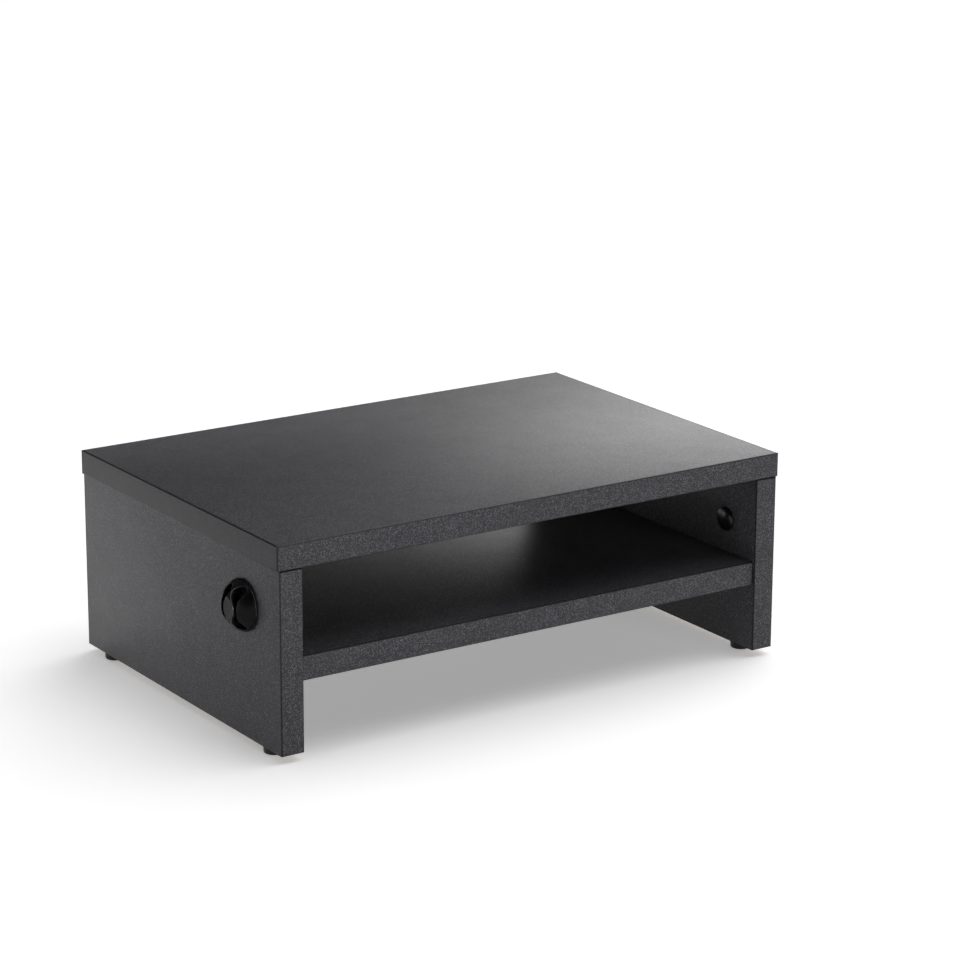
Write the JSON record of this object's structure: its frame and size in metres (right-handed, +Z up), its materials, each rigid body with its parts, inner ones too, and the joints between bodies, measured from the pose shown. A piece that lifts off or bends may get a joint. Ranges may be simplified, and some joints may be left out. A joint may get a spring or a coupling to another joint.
{
  "type": "monitor stand",
  "caption": "Low two-tier desk stand for a screen or laptop: a flat top board on side panels, an open shelf between them, glide feet and a cable clip on the left side.",
  "frame": {"origin": "on the desk, under the middle of the whole stand's bounding box, which the cable clip widens on the left", "axes": "+X to the right along the stand's width, +Y from the front to the back, +Z up"},
  "size_m": [0.3934, 0.254, 0.139],
  "materials": {
    "board": "charcoal melamine face with a fine pearl grain, satin",
    "edge_band": "charcoal edge band with a fine speckle, satin",
    "cam_lock": "die-cast zinc, dull",
    "bolt": "zinc-plated steel",
    "cap": "black moulded plastic, satin",
    "dowel": "plain beech",
    "foot": "black moulded plastic, matte",
    "nail": "bright steel",
    "adhesive_pad": "grey double-sided foam",
    "cable_clip": "black soft plastic, satin"
  },
  "bodies": {
    "root": {"top_board": "board", "top_band_front": "edge_band", "top_band_back": "edge_band", "top_band_left": "edge_band", "top_band_right": "edge_band", "shelf_board": "board", "shelf_band_front": "edge_band", "shelf_band_back": "edge_band", "side_panel_left": "board", "panel_band_front_left": "edge_band", "panel_band_back_left": "edge_band", "side_panel_right": "board", "panel_band_front_right": "edge_band", "panel_band_back_right": "edge_band", "cam_lock_panel_front_left": "cam_lock", "cam_bolt_top_front_left": "bolt", "cam_cap_front_left": "cap", "dowel_top_front_left": "dowel", "cam_lock_shelf_front_left": "cam_lock", "cam_bolt_shelf_front_left": "bolt", "dowel_shelf_front_left": "dowel", "glide_foot_front_left": "foot", "glide_nail_front_left": "nail", "cam_lock_panel_back_left": "cam_lock", "cam_bolt_top_back_left": "bolt", "cam_cap_back_left": "cap", "dowel_top_back_left": "dowel", "cam_lock_shelf_back_left": "cam_lock", "cam_bolt_shelf_back_left": "bolt", "dowel_shelf_back_left": "dowel", "glide_foot_back_left": "foot", "glide_nail_back_left": "nail", "cam_lock_panel_front_right": "cam_lock", "cam_bolt_top_front_right": "bolt", "cam_cap_front_right": "cap", "dowel_top_front_right": "dowel", "cam_lock_shelf_front_right": "cam_lock", "cam_bolt_shelf_front_right": "bolt", "dowel_shelf_front_right": "dowel", "glide_foot_front_right": "foot", "glide_nail_front_right": "nail", "cam_lock_panel_back_right": "cam_lock", "cam_bolt_top_back_right": "bolt", "cam_cap_back_right": "cap", "dowel_top_back_right": "dowel", "cam_lock_shelf_back_right": "cam_lock", "cam_bolt_shelf_back_right": "bolt", "dowel_shelf_back_right": "dowel", "glide_foot_back_right": "foot", "glide_nail_back_right": "nail", "cable_clip_pad": "adhesive_pad", "cable_clip": "cable_clip"}
  },
  "joints": []
}
